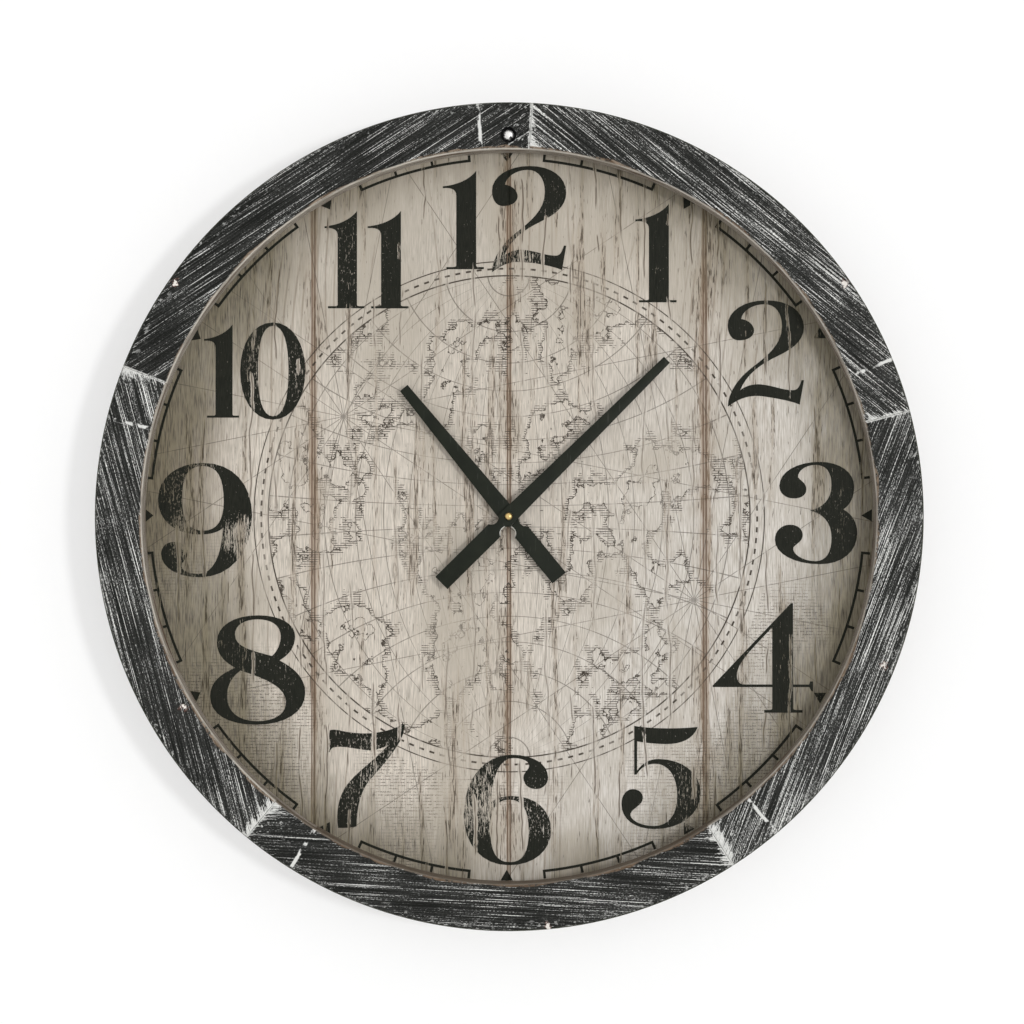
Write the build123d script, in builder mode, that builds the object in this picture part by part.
from build123d import *

import os
from math import cos, degrees, radians, sin

# Wall clock, 600 mm across, with a ring of five half-lapped wooden felloes round a plank dial.
# Millimetres. The wall is the plane Y = 0, the dial looks along -Y and +Z is up.
# The origin is on the wall, in line with the hanging hole at the top.
# "Depth" below always means the distance in front of the wall.

os.makedirs("parts", exist_ok=True)

# Wooden ring
ring_radius = 300.0
ring_width = 34.0
felloe_thickness = 24.0
felloe_sides = ["upper_right", "lower_right", "bottom", "lower_left", "upper_left"]
ring_turn = 0.5
lap_angle = 7.5
lap_gap = 0.2
outer_round = 3.0
inner_ease = 1.6

# Dial board and the ring behind it
dial_thickness = 5.0
dial_overlap = 20.0
plank_width = 143.0
groove_width = 2.4
groove_depth = 0.9
back_ring_width = 28.0
back_ring_sides = 20
wall_gap = 1.3

# Screws that hold the ring, the dial board and the felloes together, from behind
screw_radius = 2.0
screw_head_radius = 4.0
screw_head_height = 2.4
screw_inset = 0.3
screw_bite = 10.0
screw_clearance = 0.05

# Hanger: a keyhole strap held by one bolt, whose head shows at the top of the ring
hanger_drop = 28.0
bolt_inset = 10.0
bolt_radius = 2.5
bolt_head_radius = 4.0
bolt_head_height = 2.4
bolt_head_ease = 1.2
bolt_well_radius = 5.85
bolt_well_depth = 3.4
bolt_clearance = 0.05
strap_width = 20.0
strap_thickness = 1.5
strap_clearance = 0.3
keyhole_radius = 4.5
keyhole_slot_width = 5.0
keyhole_rise = 7.5
hanger_nut_flange_radius = 8.0
hanger_nut_flange = 1.2
hanger_nut_inset = 0.3
hanger_nut_barrel_radius = 3.6
hanger_nut_barrel = 8.0

# Movement: case, cover and the parts that clamp it to the dial
case_rise = 28.0
case_room = 0.9
case_corner = 3.0
case_wall = 1.5
case_plate = 1.5
partition_wall = 1.2
bay_floor = 1.0
wheel_room = 0.5
cover_thickness = 1.0
gasket_radius = 14.0
gasket_thickness = 0.8
bushing_radius = 3.9
bushing_clearance = 0.2
bushing_spare = 0.6
washer_radius = 5.5
washer_thickness = 0.6
mounting_nut_flats = 10.0
mounting_nut_height = 2.2
running_clearance = 0.05

# Gear data: teeth and modules. Two meshing gears share a module.
motion_module = 0.5
cannon_teeth = 12
minute_wheel_teeth = 36
minute_pinion_teeth = 10
hour_wheel_teeth = 40
knob_teeth = 12
step_module = 0.4
rotor_teeth = 6
intermediate_teeth = 30
intermediate_pinion_teeth = 6
second_teeth = 36
centre_module = 0.42
second_pinion_teeth = 6
third_teeth = 45
third_pinion_teeth = 6
centre_teeth = 48

# Tooth outlines: each point's height above the pitch circle in modules, and its place in shares of the pitch
wheel_tooth = [(-0.8, -0.24), (0.9, 0.0), (-0.8, 0.24)]
pinion_tooth = [(-1.2, -0.19), (0.35, -0.15), (0.35, 0.15), (-1.2, 0.19)]
knurl_tooth = [(-0.5, -0.3), (0.0, -0.2), (0.0, 0.2), (-0.5, 0.3)]

# Directions from one axis of the train to the next, in degrees from +X towards +Z
minute_wheel_direction = 30.0
knob_direction = -70.0
third_direction = 150.0
intermediate_direction = 60.0
rotor_direction = 60.0

# Levels in the movement
end_float = 0.3
motion_wheel_thickness = 1.2
train_wheel_thickness = 1.0
level_gap = 0.5
pinion_spare = 0.2
magnet_height = 2.4
magnet_radius = 2.5

# Arbors and studs
hour_tube_radius = 2.5
minute_arbor_radius = 1.85
minute_journal_radius = 1.2
minute_post_radius = 1.4
second_arbor_radius = 0.5
second_arbor_reach = 4.0
centre_boss_radius = 1.5
motion_stud_radius = 1.0
train_stud_radius = 0.45

# Step motor and circuit
stator_gap = 0.5
stator_thickness = 1.0
stator_bar_height = 7.0
stator_leg_width = 4.0
stator_left = 13.0
stator_right = 17.0
coil_room = 0.6
coil_radius = 2.7
coil_cheek = 1.0
coil_cheek_spare = 0.4
core_width = 2.4
board_width = 7.0
board_height = 22.0
board_thickness = 1.0
board_edge = 1.0
crystal_radius = 1.0
crystal_length = 6.0
chip_size = 4.5
chip_height = 1.0

# Setting knob at the back
knob_shaft_radius = 1.5
knob_pivot_radius = 0.8
knob_pivot_length = 0.8
knob_radius = 6.0
knob_height = 2.2
knob_gap = 0.2
knob_knurls = 14

# AA cell and its contacts
cell_radius = 7.25
cell_length = 50.5
cell_nub_radius = 2.75
cell_nub_length = 1.0
cell_clearance = 0.15
contact_thickness = 0.4
contact_width = 10.0
spring_length = 1.7
contact_tip_radius = 1.5

# Hands
hand_thickness = 1.0
hand_fit = 0.02
hand_gap = 1.4
hour_hand_angle = 129.3
hour_hand_length = 121.0
hour_hand_tail = 58.0
hour_hand_root = 13.0
hour_hand_tip = 7.2
hour_collar_radius = 3.6
hour_collar_height = 1.6
minute_hand_angle = 44.7
minute_hand_length = 162.0
minute_hand_tail = 69.0
minute_hand_root = 12.0
minute_hand_tip = 6.2
hand_tail_width = 12.6
neck_width = 6.2
neck_offset = 9.5
neck_notch_radius = 5.4
minute_nut_radius = 2.9
minute_nut_height = 3.2
minute_nut_dome = 1.2
minute_nut_roof = 0.8

# Levels of the train, measured back from the front face of the case
hour_level = case_plate + end_float
minute_level = hour_level + motion_wheel_thickness + level_gap
centre_level = minute_level + motion_wheel_thickness + level_gap
third_level = centre_level + train_wheel_thickness + level_gap
second_level = third_level + train_wheel_thickness + level_gap
intermediate_level = second_level + train_wheel_thickness + level_gap
magnet_level = intermediate_level + train_wheel_thickness + level_gap
stator_level = magnet_level + (magnet_height - stator_thickness) / 2
core_level = stator_level - stator_thickness
coil_level = core_level + stator_thickness / 2
case_depth = magnet_level + magnet_height + case_room
cover_back = case_depth + cover_thickness
knob_front = cover_back + knob_gap
knob_back = knob_front + knob_height

# Depths and radii of the clock: the back ring is deep enough for the movement behind the dial
back_ring_depth = gasket_thickness + knob_back + wall_gap
dial_back = back_ring_depth
dial_front = dial_back + dial_thickness
lap_depth = dial_front + felloe_thickness / 2
ring_front = dial_front + felloe_thickness
ring_inner = ring_radius - ring_width
dial_radius = ring_inner + dial_overlap
bolt_height = ring_inner + bolt_inset
hanging_height = bolt_height - hanger_drop
dial_z = -hanging_height
screw_circle = dial_radius - back_ring_width / 2
case_front = dial_back - gasket_thickness
bushing_front = dial_front + washer_thickness + mounting_nut_height + bushing_spare
hour_hand_back = bushing_front + end_float + hour_collar_height
minute_hand_back = hour_hand_back + hand_thickness + hand_gap
minute_hand_front = minute_hand_back + hand_thickness
strap_back = hanger_nut_inset + hanger_nut_flange
strap_front = strap_back + strap_thickness
bolt_seat = ring_front - bolt_well_depth

# Modules that make coaxial pairs of gears the same distance apart
motion_teeth = cannon_teeth + minute_wheel_teeth
hour_module = motion_module * motion_teeth / (minute_pinion_teeth + hour_wheel_teeth)
third_module = centre_module * (third_pinion_teeth + centre_teeth) / (second_pinion_teeth + third_teeth)


def polar(distance, direction, start=(0.0, 0.0)):
    """The point at a distance and direction from a start point, in X and Z."""
    return (
        start[0] + distance * cos(radians(direction)),
        start[1] + distance * sin(radians(direction)),
    )


def spacing(module, teeth, other_teeth):
    """Distance between the axes of two meshing gears."""
    return module * (teeth + other_teeth) / 2


# Axes of the train, as (X, Z) from the dial's axis
dial_axis = (0.0, 0.0)
minute_wheel_spacing = spacing(motion_module, cannon_teeth, minute_wheel_teeth)
minute_wheel_axis = polar(minute_wheel_spacing, minute_wheel_direction)
knob_spacing = spacing(motion_module, minute_wheel_teeth, knob_teeth)
knob_axis = polar(knob_spacing, knob_direction, minute_wheel_axis)
third_axis = polar(spacing(centre_module, third_pinion_teeth, centre_teeth), third_direction)
intermediate_spacing = spacing(step_module, intermediate_pinion_teeth, second_teeth)
intermediate_axis = polar(intermediate_spacing, intermediate_direction)
rotor_spacing = spacing(step_module, rotor_teeth, intermediate_teeth)
rotor_axis = polar(rotor_spacing, rotor_direction, intermediate_axis)

# Room in the case: the gear chamber clears the wheels on the dial's axis, the bay is as long as the cell
centre_wheel_reach = centre_module * (centre_teeth / 2 + wheel_tooth[1][0])
hour_wheel_reach = hour_module * (hour_wheel_teeth / 2 + wheel_tooth[1][0])
chamber_drop = max(centre_wheel_reach, hour_wheel_reach) + wheel_room
chamber_top = case_rise - case_wall
chamber_height = chamber_top + chamber_drop
bay_half = (cell_length + 2 * contact_thickness + spring_length) / 2
bay_height = 2 * (cell_radius + cell_clearance)
cell_height = -(chamber_drop + partition_wall + bay_height / 2)
case_width = 2 * (bay_half + case_wall)
case_drop = chamber_drop + partition_wall + bay_height + bay_floor
coil_height = chamber_top - coil_room - coil_radius


def facing(depth, axis=dial_axis, turn=0.0):
    """A plane in front of the wall that faces the room, centred on an axis of the clock."""
    origin = (axis[0], -depth, dial_z + axis[1])
    direction = (cos(radians(turn)), 0, sin(radians(turn)))
    return Plane(origin=origin, x_dir=direction, z_dir=(0, -1, 0))


def in_case(level, axis=dial_axis):
    """A plane in the movement, a level behind the case's front face, that faces the room."""
    return facing(case_front - level, axis)


def half_section(axis=dial_axis, turn=0.0):
    """A plane through an axis: local X runs outwards and local Y is the depth."""
    origin = (axis[0], 0, dial_z + axis[1])
    outward = (cos(radians(turn)), 0, sin(radians(turn)))
    return Plane(origin=origin, x_dir=outward, z_dir=(sin(radians(turn)), 0, -cos(radians(turn))))


def axis_line(axis=dial_axis):
    """The line through an axis of the clock that points into the room."""
    return Axis((axis[0], 0, dial_z + axis[1]), (0, -1, 0))


def disc(plane, radius, height, mode=Mode.ADD):
    """A round slab that rises from a plane towards the room, or the hole of that size."""
    with BuildSketch(plane) as outline:
        Circle(radius)
    extrude(outline.sketch, amount=height, mode=mode)


def block(plane, width, height, thickness, mode=Mode.ADD):
    """A rectangular slab that rises from a plane towards the room, or the hole of that size."""
    with BuildSketch(plane) as outline:
        Rectangle(width, height)
    extrude(outline.sketch, amount=thickness, mode=mode)


def gear(plane, teeth, module, tooth, phase, thickness):
    """A spur gear with straight flanks. Phase is the direction of one tooth, in degrees."""
    pitch = 360 / teeth
    points = [
        polar(module * (teeth / 2 + height), phase + (place + share) * pitch)
        for place in range(teeth)
        for height, share in tooth
    ]
    with BuildSketch(plane) as outline:
        with BuildLine():
            Polyline(*points, close=True)
        make_face()
    extrude(outline.sketch, amount=thickness)


def mesh_phase(phase, teeth, other_teeth, direction):
    """The phase that puts another gear's gap on this gear's tooth, where the two meet."""
    share = ((direction - phase) * teeth / 360) % 1
    return direction + 180 + (share + 0.5) * 360 / other_teeth


# Phases at rest, passed on from gear to gear through each mesh
cannon_phase = 0.0
minute_wheel_phase = mesh_phase(cannon_phase, cannon_teeth, minute_wheel_teeth, minute_wheel_direction)
minute_pinion_phase = 0.0
hour_wheel_phase = mesh_phase(
    minute_pinion_phase, minute_pinion_teeth, hour_wheel_teeth, minute_wheel_direction + 180
)
knob_phase = mesh_phase(minute_wheel_phase, minute_wheel_teeth, knob_teeth, knob_direction)
rotor_phase = 0.0
intermediate_phase = mesh_phase(rotor_phase, rotor_teeth, intermediate_teeth, rotor_direction + 180)
intermediate_pinion_phase = 0.0
second_phase = mesh_phase(
    intermediate_pinion_phase, intermediate_pinion_teeth, second_teeth, intermediate_direction + 180
)
second_pinion_phase = 0.0
third_phase = mesh_phase(second_pinion_phase, second_pinion_teeth, third_teeth, third_direction)
third_pinion_phase = 0.0
centre_phase = mesh_phase(third_pinion_phase, third_pinion_teeth, centre_teeth, third_direction + 180)

# Screw places: one in the middle of each felloe
felloe_angle = 360 / len(felloe_sides)
felloe_middles = [90 + ring_turn - (place + 0.5) * felloe_angle for place in range(len(felloe_sides))]
screw_axes = [polar(screw_circle, middle) for middle in felloe_middles]
bolt_axis = (0.0, bolt_height)


def felloe_layer(start, near, far):
    """One half of a felloe's thickness; the front half has its outer edge rounded, its inner edge eased."""
    trim = degrees(lap_gap / 2 / (ring_radius - ring_width / 2))
    with BuildSketch(half_section(turn=start + trim)) as section:
        with Locations((ring_radius - ring_width / 2, (near + far) / 2)):
            Rectangle(ring_width, far - near)
        if far == ring_front:
            front_corners = section.vertices().group_by(Axis.Y)[-1].sort_by(Axis.X)
            fillet(front_corners[-1], outer_round)
            chamfer(front_corners[0], inner_ease)
    revolve(section.sketch, axis=axis_line(), revolution_arc=felloe_angle - 2 * trim)


# Felloes: the front half of each reaches clockwise over the next, the rear half the other way
for side, middle, screw_axis in zip(felloe_sides, felloe_middles, screw_axes):
    start = middle - felloe_angle / 2
    with BuildPart() as felloe:
        felloe_layer(start - lap_angle / 2, lap_depth, ring_front)
        felloe_layer(start + lap_angle / 2, dial_front, lap_depth)
        disc(facing(dial_front, screw_axis), screw_radius + screw_clearance, screw_bite, Mode.SUBTRACT)
        if side in ("upper_left", "upper_right"):
            bolt_hole = facing(dial_front, bolt_axis)
            disc(bolt_hole, bolt_radius + bolt_clearance, felloe_thickness, Mode.SUBTRACT)
            disc(facing(bolt_seat, bolt_axis), bolt_well_radius, bolt_well_depth, Mode.SUBTRACT)
    felloe.part.label = f"frame_segment_{side}"
    export_step(felloe.part, f"parts/frame_segment_{side}.step")

# Dial board with the grooves between its planks
with BuildPart() as dial_board:
    disc(facing(dial_back), dial_radius, dial_thickness)
    disc(facing(dial_back), bushing_radius + bushing_clearance, dial_thickness, Mode.SUBTRACT)
    disc(facing(dial_back, bolt_axis), bolt_radius + bolt_clearance, dial_thickness, Mode.SUBTRACT)
    for screw_axis in screw_axes:
        disc(facing(dial_back, screw_axis), screw_radius + screw_clearance, dial_thickness, Mode.SUBTRACT)
    across = Plane(origin=(0, -dial_front, dial_z), x_dir=(1, 0, 0), z_dir=(0, 0, 1))
    with BuildSketch(across) as grooves:
        with GridLocations(plank_width, 0, 3, 1):
            Polygon((-groove_width / 2, 0), (groove_width / 2, 0), (0, groove_depth), align=None)
    extrude(amount=dial_radius, both=True, mode=Mode.SUBTRACT)
dial_board.part.label = "dial_board"
export_step(dial_board.part, "parts/dial_board.step")

# Back ring, sawn with straight cuts: it stands on the wall and takes the strap in a recess of its outline
with BuildPart() as back_ring:
    with BuildSketch(facing(0)):
        RegularPolygon(dial_radius, back_ring_sides)
        RegularPolygon(dial_radius - back_ring_width, back_ring_sides, mode=Mode.SUBTRACT)
    extrude(amount=back_ring_depth)
    strap_middle = (0.0, (bolt_height + hanging_height) / 2)
    with BuildSketch(facing(0, strap_middle)):
        SlotCenterToCenter(bolt_height - hanging_height, strap_width + 2 * strap_clearance, rotation=90)
    extrude(amount=strap_front, mode=Mode.SUBTRACT)
    barrel_hole = facing(strap_front, bolt_axis)
    disc(barrel_hole, hanger_nut_barrel_radius + bolt_clearance, hanger_nut_barrel, Mode.SUBTRACT)
    disc(facing(0, bolt_axis), bolt_radius + bolt_clearance, back_ring_depth, Mode.SUBTRACT)
    screw_seat = screw_inset + screw_head_height
    for screw_axis in screw_axes:
        disc(facing(0, screw_axis), screw_radius + screw_clearance, back_ring_depth, Mode.SUBTRACT)
        disc(facing(0, screw_axis), screw_head_radius + screw_clearance, screw_seat, Mode.SUBTRACT)
back_ring.part.label = "back_ring"
export_step(back_ring.part, "parts/back_ring.step")

# Screws with their heads sunk in the back
with BuildPart() as ring_screws:
    screw_length = dial_front + screw_bite - screw_inset
    for screw_axis in screw_axes:
        disc(facing(screw_inset, screw_axis), screw_head_radius, screw_head_height)
        disc(facing(screw_inset, screw_axis), screw_radius, screw_length)
ring_screws.part.label = "ring_screws"
export_step(ring_screws.part, "parts/ring_screws.step")

# Hanger strap with its keyhole
with BuildPart() as hanger_strap:
    with BuildSketch(facing(strap_back, strap_middle)):
        SlotCenterToCenter(bolt_height - hanging_height, strap_width, rotation=90)
    extrude(amount=strap_thickness)
    strap_hole = facing(strap_back, bolt_axis)
    disc(strap_hole, hanger_nut_barrel_radius + bolt_clearance, strap_thickness, Mode.SUBTRACT)
    keyhole_axis = (0.0, hanging_height)
    disc(facing(strap_back, keyhole_axis), keyhole_radius, strap_thickness, Mode.SUBTRACT)
    with BuildSketch(facing(strap_back, (0.0, hanging_height + keyhole_rise / 2))):
        SlotCenterToCenter(keyhole_rise, keyhole_slot_width, rotation=90)
    extrude(amount=strap_thickness, mode=Mode.SUBTRACT)
hanger_strap.part.label = "hanger_strap"
export_step(hanger_strap.part, "parts/hanger_strap.step")

# Flanged nut pressed in from the back
with BuildPart() as hanger_nut:
    disc(facing(hanger_nut_inset, bolt_axis), hanger_nut_flange_radius, hanger_nut_flange)
    barrel_length = strap_front - hanger_nut_inset + hanger_nut_barrel
    disc(facing(hanger_nut_inset, bolt_axis), hanger_nut_barrel_radius, barrel_length)
    disc(facing(0, bolt_axis), bolt_radius + bolt_clearance, back_ring_depth, Mode.SUBTRACT)
hanger_nut.part.label = "hanger_nut"
export_step(hanger_nut.part, "parts/hanger_nut.step")

# Bolt with a round head in a well at the front of the ring
with BuildPart() as hanger_bolt:
    disc(facing(strap_back, bolt_axis), bolt_radius, bolt_seat - strap_back)
    disc(facing(bolt_seat, bolt_axis), bolt_head_radius, bolt_head_height)
    chamfer(hanger_bolt.edges().filter_by(GeomType.CIRCLE).sort_by(Axis.Y)[0], bolt_head_ease)
hanger_bolt.part.label = "hanger_bolt"
export_step(hanger_bolt.part, "parts/hanger_bolt.step")

# Movement case: a gear chamber above, an open bay for the cell below, a bushing in front
case_middle = (0.0, (case_rise - case_drop) / 2)
chamber_middle = (0.0, chamber_top - chamber_height / 2)
core_ends = (stator_leg_width / 2 - stator_left, stator_right - stator_leg_width / 2)
with BuildPart() as movement_case:
    with BuildSketch(in_case(case_depth, case_middle)):
        RectangleRounded(case_width, case_rise + case_drop, case_corner)
    extrude(amount=case_depth)
    pocket = case_depth - case_plate
    block(in_case(case_depth, chamber_middle), 2 * bay_half, chamber_height, pocket, Mode.SUBTRACT)
    block(in_case(case_depth, (0.0, cell_height)), 2 * bay_half, bay_height, pocket, Mode.SUBTRACT)
    disc(in_case(case_plate), bushing_radius, bushing_front - case_front + case_plate)
    bushing_bore = hour_tube_radius + running_clearance
    disc(in_case(case_plate), bushing_bore, bushing_front - case_front + case_plate, Mode.SUBTRACT)
    minute_stud_end = minute_level + motion_wheel_thickness + end_float
    disc(in_case(minute_stud_end, minute_wheel_axis), motion_stud_radius, minute_stud_end - case_plate)
    third_stud_end = third_level + train_wheel_thickness + end_float
    disc(in_case(third_stud_end, third_axis), train_stud_radius, third_stud_end - case_plate)
    pivot_hole = in_case(case_plate, knob_axis)
    pivot_bore = knob_pivot_radius + running_clearance
    disc(pivot_hole, pivot_bore, knob_pivot_length + running_clearance, Mode.SUBTRACT)
    for core_end in core_ends:
        post = in_case(core_level, (core_end, coil_height))
        block(post, stator_leg_width, stator_leg_width, core_level - case_plate)
movement_case.part.label = "movement_case"
export_step(movement_case.part, "parts/movement_case.step")

# Cover of the gear chamber, with the rear studs of the train
cover_height = case_rise + chamber_drop + partition_wall
cover_middle = (0.0, case_rise - cover_height / 2)
with BuildPart() as movement_cover:
    block(in_case(cover_back, cover_middle), case_width, cover_height, cover_thickness)
    upper_corners = movement_cover.edges().filter_by(Axis.Y).group_by(Axis.Z)[-1]
    fillet(upper_corners, case_corner)
    boss_start = intermediate_level + train_wheel_thickness + level_gap
    disc(in_case(case_depth), centre_boss_radius, case_depth - boss_start)
    second_bore = second_arbor_radius + running_clearance
    disc(in_case(case_depth), second_bore, case_depth - boss_start, Mode.SUBTRACT)
    intermediate_stud_start = second_level - end_float
    intermediate_stud = case_depth - intermediate_stud_start
    disc(in_case(case_depth, intermediate_axis), train_stud_radius, intermediate_stud)
    rotor_stud = case_depth - intermediate_level + end_float
    disc(in_case(case_depth, rotor_axis), train_stud_radius, rotor_stud)
    shaft_bore = knob_shaft_radius + running_clearance
    disc(in_case(cover_back, knob_axis), shaft_bore, cover_thickness, Mode.SUBTRACT)
movement_cover.part.label = "movement_cover"
export_step(movement_cover.part, "parts/movement_cover.step")

# Gasket, washer and nut round the bushing
with BuildPart() as dial_gasket:
    disc(facing(case_front), gasket_radius, gasket_thickness)
    disc(facing(case_front), bushing_radius + bushing_clearance, gasket_thickness, Mode.SUBTRACT)
dial_gasket.part.label = "dial_gasket"
export_step(dial_gasket.part, "parts/dial_gasket.step")

with BuildPart() as dial_washer:
    disc(facing(dial_front), washer_radius, washer_thickness)
    disc(facing(dial_front), bushing_radius + running_clearance, washer_thickness, Mode.SUBTRACT)
dial_washer.part.label = "dial_washer"
export_step(dial_washer.part, "parts/dial_washer.step")

with BuildPart() as mounting_nut:
    with BuildSketch(facing(dial_front + washer_thickness)):
        RegularPolygon(mounting_nut_flats / 2, 6, major_radius=False)
        Circle(bushing_radius + running_clearance, mode=Mode.SUBTRACT)
    extrude(amount=mounting_nut_height)
mounting_nut.part.label = "mounting_nut"
export_step(mounting_nut.part, "parts/mounting_nut.step")

# Hour wheel: its tube runs in the bushing and carries the hour hand
hour_wheel_back = hour_level + motion_wheel_thickness
hour_tube_front = hour_hand_back + hand_thickness
with BuildPart() as hour_wheel:
    hour_face = in_case(hour_wheel_back)
    gear(hour_face, hour_wheel_teeth, hour_module, wheel_tooth, hour_wheel_phase, motion_wheel_thickness)
    hour_tube_length = hour_tube_front - case_front + hour_wheel_back
    disc(hour_face, hour_tube_radius, hour_tube_length)
    disc(hour_face, minute_arbor_radius + running_clearance, hour_tube_length, Mode.SUBTRACT)
hour_wheel.part.label = "hour_wheel"
export_step(hour_wheel.part, "parts/hour_wheel.step")

# Minute arbor: cannon pinion, shaft through the hour tube and a post for the minute hand
cannon_length = motion_wheel_thickness + 2 * pinion_spare
cannon_back = minute_level + motion_wheel_thickness + pinion_spare
journal_back = centre_level + train_wheel_thickness + pinion_spare / 2
post_front = minute_hand_front + minute_nut_height - minute_nut_roof
with BuildPart() as minute_arbor:
    gear(in_case(cannon_back), cannon_teeth, motion_module, pinion_tooth, cannon_phase, cannon_length)
    disc(in_case(cannon_back), minute_arbor_radius, minute_hand_back - case_front + cannon_back)
    disc(facing(minute_hand_back), minute_post_radius, post_front - minute_hand_back)
    disc(in_case(journal_back), minute_journal_radius, journal_back - cannon_back)
    disc(in_case(journal_back), second_bore, journal_back + second_arbor_reach, Mode.SUBTRACT)
minute_arbor.part.label = "minute_arbor"
export_step(minute_arbor.part, "parts/minute_arbor.step")

# Motion work: minute wheel and its pinion, on a stud of the case
with BuildPart() as minute_wheel:
    minute_wheel_back = minute_level + motion_wheel_thickness
    minute_face = in_case(minute_wheel_back, minute_wheel_axis)
    minute_phase = minute_wheel_phase
    gear(minute_face, minute_wheel_teeth, motion_module, wheel_tooth, minute_phase, motion_wheel_thickness)
    pinion_front = hour_level - pinion_spare
    pinion_face = in_case(minute_level, minute_wheel_axis)
    pinion_length = minute_level - pinion_front
    gear(pinion_face, minute_pinion_teeth, hour_module, pinion_tooth, minute_pinion_phase, pinion_length)
    stud_bore = motion_stud_radius + running_clearance
    disc(minute_face, stud_bore, minute_wheel_back - pinion_front, Mode.SUBTRACT)
minute_wheel.part.label = "minute_wheel"
export_step(minute_wheel.part, "parts/minute_wheel.step")

# Centre wheel, a friction fit on the minute arbor's journal
with BuildPart() as centre_wheel:
    centre_face = in_case(centre_level + train_wheel_thickness)
    gear(centre_face, centre_teeth, centre_module, wheel_tooth, centre_phase, train_wheel_thickness)
    journal_bore = minute_journal_radius + running_clearance
    disc(centre_face, journal_bore, train_wheel_thickness, Mode.SUBTRACT)
centre_wheel.part.label = "centre_wheel"
export_step(centre_wheel.part, "parts/centre_wheel.step")


def train_pinion(level, axis, teeth, module, phase):
    """The pinion in front of a train wheel: it spans the level before it, with a little to spare."""
    length = train_wheel_thickness + level_gap + pinion_spare
    gear(in_case(level, axis), teeth, module, pinion_tooth, phase, length)
    return length


def train_wheel(level, axis, teeth, module, phase):
    """The wheel of a train piece, at its level."""
    face = in_case(level + train_wheel_thickness, axis)
    gear(face, teeth, module, wheel_tooth, phase, train_wheel_thickness)


def train_bore(level, axis, pinion_length, tail):
    """The hole in a train piece for its stud, from the pinion's front to the piece's back."""
    length = pinion_length + tail
    disc(in_case(level + tail, axis), train_stud_radius + running_clearance, length, Mode.SUBTRACT)


# Third wheel, on a stud of the case
with BuildPart() as third_wheel:
    third_pinion = train_pinion(
        third_level, third_axis, third_pinion_teeth, centre_module, third_pinion_phase
    )
    train_wheel(third_level, third_axis, third_teeth, third_module, third_phase)
    train_bore(third_level, third_axis, third_pinion, train_wheel_thickness)
third_wheel.part.label = "third_wheel"
export_step(third_wheel.part, "parts/third_wheel.step")

# Second wheel: its arbor runs in the minute arbor in front and in the cover's boss behind
with BuildPart() as second_wheel:
    train_pinion(second_level, dial_axis, second_pinion_teeth, third_module, second_pinion_phase)
    train_wheel(second_level, dial_axis, second_teeth, step_module, second_phase)
    arbor_back = case_depth - end_float
    disc(in_case(arbor_back), second_arbor_radius, arbor_back + second_arbor_reach - end_float)
second_wheel.part.label = "second_wheel"
export_step(second_wheel.part, "parts/second_wheel.step")

# Intermediate wheel, on a stud of the cover
with BuildPart() as intermediate_wheel:
    step_pinion = train_pinion(
        intermediate_level,
        intermediate_axis,
        intermediate_pinion_teeth,
        step_module,
        intermediate_pinion_phase,
    )
    train_wheel(intermediate_level, intermediate_axis, intermediate_teeth, step_module, intermediate_phase)
    train_bore(intermediate_level, intermediate_axis, step_pinion, train_wheel_thickness)
intermediate_wheel.part.label = "intermediate_wheel"
export_step(intermediate_wheel.part, "parts/intermediate_wheel.step")

# Rotor: a round magnet with its pinion, on a stud of the cover
with BuildPart() as rotor:
    rotor_pinion = train_pinion(magnet_level, rotor_axis, rotor_teeth, step_module, rotor_phase)
    disc(in_case(magnet_level + magnet_height, rotor_axis), magnet_radius, magnet_height)
    train_bore(magnet_level, rotor_axis, rotor_pinion, magnet_height)
rotor.part.label = "rotor"
export_step(rotor.part, "parts/rotor.step")

# Stator: a plate round the magnet with two legs up to the coil's core
leg_foot = rotor_axis[1] - stator_bar_height / 2
leg_top = coil_height + core_width / 2
leg_height = leg_top - leg_foot
stator_width = stator_left + stator_right
stator_middle = (stator_right - stator_left) / 2
with BuildPart() as stator:
    bar = in_case(stator_level + stator_thickness, (stator_middle, rotor_axis[1]))
    block(bar, stator_width, stator_bar_height, stator_thickness)
    for core_end in core_ends:
        leg = in_case(stator_level + stator_thickness, (core_end, leg_foot + leg_height / 2))
        block(leg, stator_leg_width, leg_height, stator_thickness)
    rotor_hole = in_case(stator_level + stator_thickness, rotor_axis)
    disc(rotor_hole, magnet_radius + stator_gap, stator_thickness, Mode.SUBTRACT)
stator.part.label = "stator"
export_step(stator.part, "parts/stator.step")

# Coil on its core, between the legs
with BuildPart() as coil_core:
    core_plane = in_case(core_level + stator_thickness, (stator_middle, coil_height))
    block(core_plane, stator_width, core_width, stator_thickness)
coil_core.part.label = "coil_core"
export_step(coil_core.part, "parts/coil_core.step")

coil_length = stator_width - 2 * stator_leg_width - 2 * coil_cheek
with BuildPart() as coil:
    along = Plane(
        origin=(stator_middle, coil_level - case_front, dial_z + coil_height),
        x_dir=(0, 0, 1),
        z_dir=(1, 0, 0),
    )
    with BuildSketch(along):
        Circle(coil_radius - coil_cheek_spare)
    extrude(amount=coil_length / 2, both=True)
    for end in (-1, 1):
        with BuildSketch(along.offset(end * (coil_length - coil_cheek) / 2)):
            Circle(coil_radius)
        extrude(amount=coil_cheek / 2, both=True)
    with BuildSketch(along):
        Rectangle(core_width + 2 * running_clearance, stator_thickness + 2 * running_clearance)
    extrude(amount=coil_length / 2, both=True, mode=Mode.SUBTRACT)
coil.part.label = "coil"
export_step(coil.part, "parts/coil.step")

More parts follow.
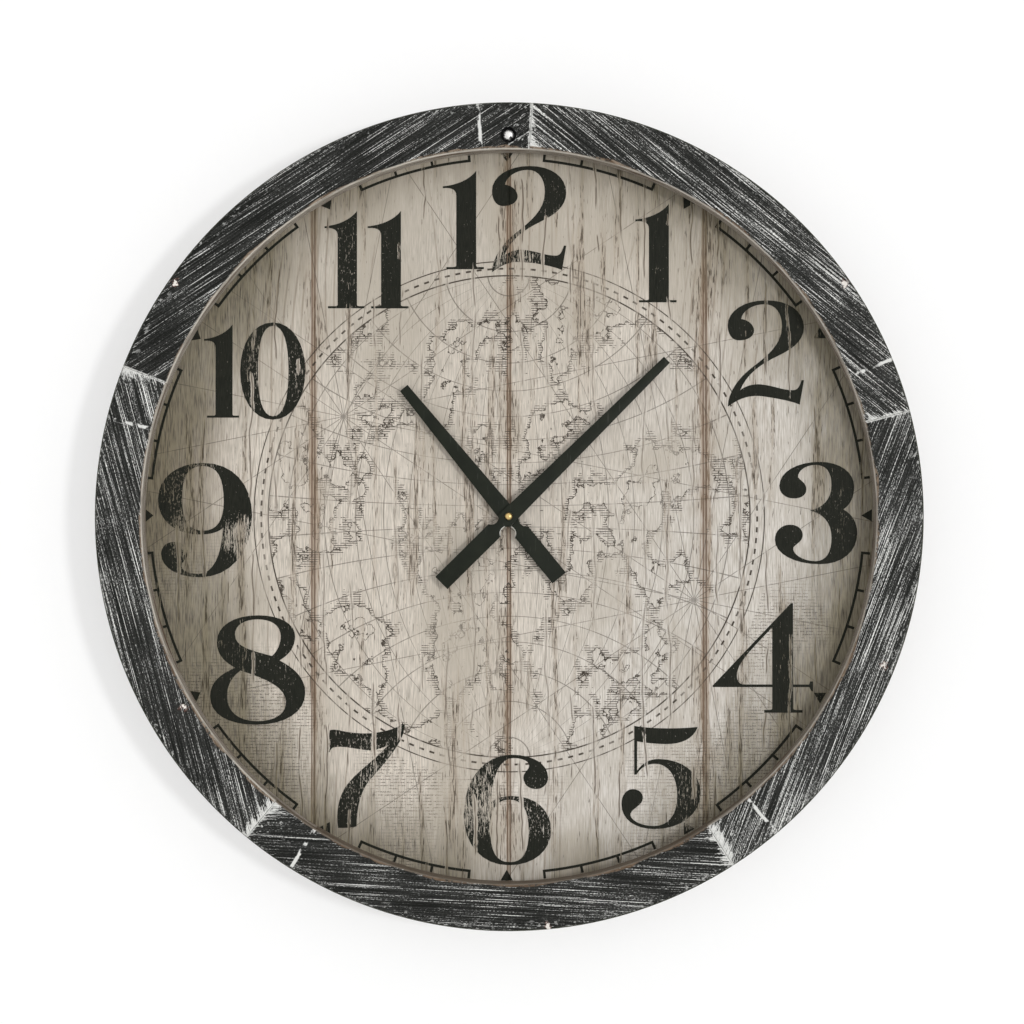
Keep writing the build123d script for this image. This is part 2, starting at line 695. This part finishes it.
# Circuit board with its chip, and the crystal can on it
board_axis = (board_width / 2 + board_edge - bay_half, chamber_top - board_edge - board_height / 2)
chip_axis = (board_axis[0], board_axis[1] - board_height / 4)
crystal_axis = (board_axis[0], board_axis[1] + board_height / 4)
board_back = case_plate + board_thickness
with BuildPart() as circuit_board:
    block(in_case(board_back, board_axis), board_width, board_height, board_thickness)
    block(in_case(board_back + chip_height, chip_axis), chip_size, chip_size, chip_height)
circuit_board.part.label = "circuit_board"
export_step(circuit_board.part, "parts/circuit_board.step")

with BuildPart() as quartz_crystal:
    crystal_middle = (
        crystal_axis[0],
        board_back + crystal_radius - case_front,
        dial_z + crystal_axis[1],
    )
    with BuildSketch(Plane(origin=crystal_middle, x_dir=(1, 0, 0), z_dir=(0, 0, 1))):
        Circle(crystal_radius)
    extrude(amount=crystal_length / 2, both=True)
quartz_crystal.part.label = "quartz_crystal"
export_step(quartz_crystal.part, "parts/quartz_crystal.step")

# Setting knob: a pivot in the case, a pinion on the minute wheel and a knurled head at the back
with BuildPart() as setting_knob:
    shaft_front = case_plate + running_clearance
    disc(in_case(shaft_front, knob_axis), knob_pivot_radius, knob_pivot_length)
    disc(in_case(knob_front, knob_axis), knob_shaft_radius, knob_front - shaft_front)
    knob_face = in_case(cannon_back, knob_axis)
    gear(knob_face, knob_teeth, motion_module, pinion_tooth, knob_phase, cannon_length)
    knurl_module = 2 * knob_radius / knob_knurls
    gear(in_case(knob_back, knob_axis), knob_knurls, knurl_module, knurl_tooth, 0, knob_height)
setting_knob.part.label = "setting_knob"
export_step(setting_knob.part, "parts/setting_knob.step")

# AA cell in the bay, between its two contacts
cell_level = case_plate + 2 * running_clearance + cell_radius
cell_right = bay_half - contact_thickness
cell_left = cell_right - cell_length


def across_bay(x):
    """A plane square to the cell's length, centred on the cell and facing +X."""
    return Plane(
        origin=(x, cell_level - case_front, dial_z + cell_height), x_dir=(0, 1, 0), z_dir=(1, 0, 0)
    )


with BuildPart() as cell:
    disc(across_bay(cell_left), cell_radius, cell_length - cell_nub_length)
    disc(across_bay(cell_right - cell_nub_length), cell_nub_radius, cell_nub_length)
cell.part.label = "cell"
export_step(cell.part, "parts/cell.step")

with BuildPart() as contact_positive:
    block(across_bay(cell_right), contact_width, contact_width, contact_thickness)
contact_positive.part.label = "contact_positive"
export_step(contact_positive.part, "parts/contact_positive.step")

with BuildPart() as contact_negative:
    block(across_bay(-bay_half), contact_width, contact_width, contact_thickness)
    spring_foot = contact_thickness - bay_half
    with BuildSketch(across_bay(spring_foot)):
        Circle(contact_width / 2)
    with BuildSketch(across_bay(cell_left)):
        Circle(contact_tip_radius)
    loft()
contact_negative.part.label = "contact_negative"
export_step(contact_negative.part, "parts/contact_negative.step")


def hand_blade(depth, angle, length, tail, root, tip):
    """A hand as a flat plate: tapered blade, hub, notched neck and a broad square tail."""
    with BuildSketch(facing(depth, turn=angle)) as outline:
        with BuildLine():
            Polyline(
                (length, tip / 2),
                (0, root / 2),
                (-neck_offset, root / 2),
                (-neck_offset, -root / 2),
                (0, -root / 2),
                (length, -tip / 2),
                close=True,
            )
        make_face()
        with Locations((-(neck_offset + tail) / 2, 0)):
            Rectangle(tail - neck_offset, hand_tail_width)
        notch_side = neck_width / 2 + neck_notch_radius
        with Locations((-neck_offset, notch_side), (-neck_offset, -notch_side)):
            Circle(neck_notch_radius, mode=Mode.SUBTRACT)
    extrude(outline.sketch, amount=hand_thickness)


# Hour hand, with a collar that grips the hour tube
with BuildPart() as hour_hand:
    hand_blade(
        hour_hand_back, hour_hand_angle, hour_hand_length, hour_hand_tail, hour_hand_root, hour_hand_tip
    )
    collar_back = hour_hand_back - hour_collar_height
    disc(facing(collar_back), hour_collar_radius, hour_collar_height)
    hour_bore = hour_tube_radius + hand_fit
    disc(facing(collar_back), hour_bore, hour_collar_height + hand_thickness, Mode.SUBTRACT)
hour_hand.part.label = "hour_hand"
export_step(hour_hand.part, "parts/hour_hand.step")

# Minute hand, clamped on the post
with BuildPart() as minute_hand:
    hand_blade(
        minute_hand_back,
        minute_hand_angle,
        minute_hand_length,
        minute_hand_tail,
        minute_hand_root,
        minute_hand_tip,
    )
    disc(facing(minute_hand_back), minute_post_radius + hand_fit, hand_thickness, Mode.SUBTRACT)
minute_hand.part.label = "minute_hand"
export_step(minute_hand.part, "parts/minute_hand.step")

# Domed brass nut on the post
with BuildPart() as minute_nut:
    disc(facing(minute_hand_front), minute_nut_radius, minute_nut_height)
    chamfer(minute_nut.edges().filter_by(GeomType.CIRCLE).sort_by(Axis.Y)[0], minute_nut_dome)
    nut_bore = minute_post_radius + hand_fit
    disc(facing(minute_hand_front), nut_bore, minute_nut_height - minute_nut_roof, Mode.SUBTRACT)
minute_nut.part.label = "minute_nut"
export_step(minute_nut.part, "parts/minute_nut.step")
